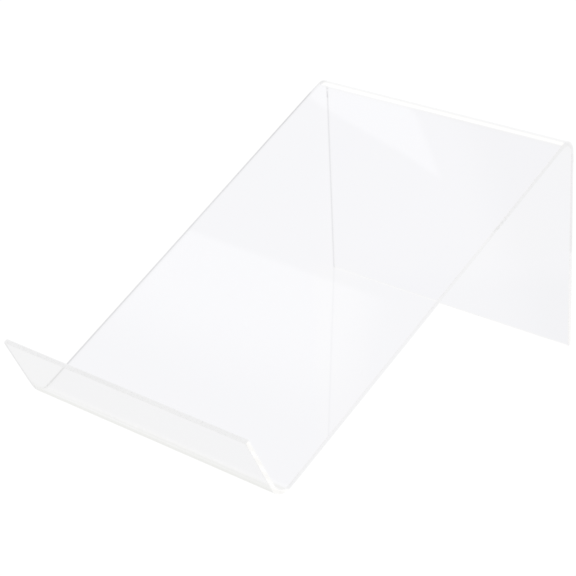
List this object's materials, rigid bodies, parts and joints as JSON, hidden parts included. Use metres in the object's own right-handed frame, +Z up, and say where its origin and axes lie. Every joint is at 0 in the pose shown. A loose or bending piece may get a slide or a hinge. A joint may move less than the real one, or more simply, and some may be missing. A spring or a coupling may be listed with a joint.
{
  "type": "book display stand",
  "caption": "Clear acrylic book display stand: a single heat-bent sheet with a front lip, a sloped panel that carries an open or closed book, and a rear leg.",
  "frame": {"origin": "middle of the footprint, on the table", "axes": "+Z up, +Y towards the rear leg, so the lip faces -Y, and X along both folds"},
  "size_m": [0.2, 0.297, 0.1397],
  "materials": {
    "clear_acrylic": "clear, polished faces and polished cut edges"
  },
  "bodies": {
    "root": {"bent_acrylic_sheet": "clear_acrylic"}
  },
  "joints": []
}
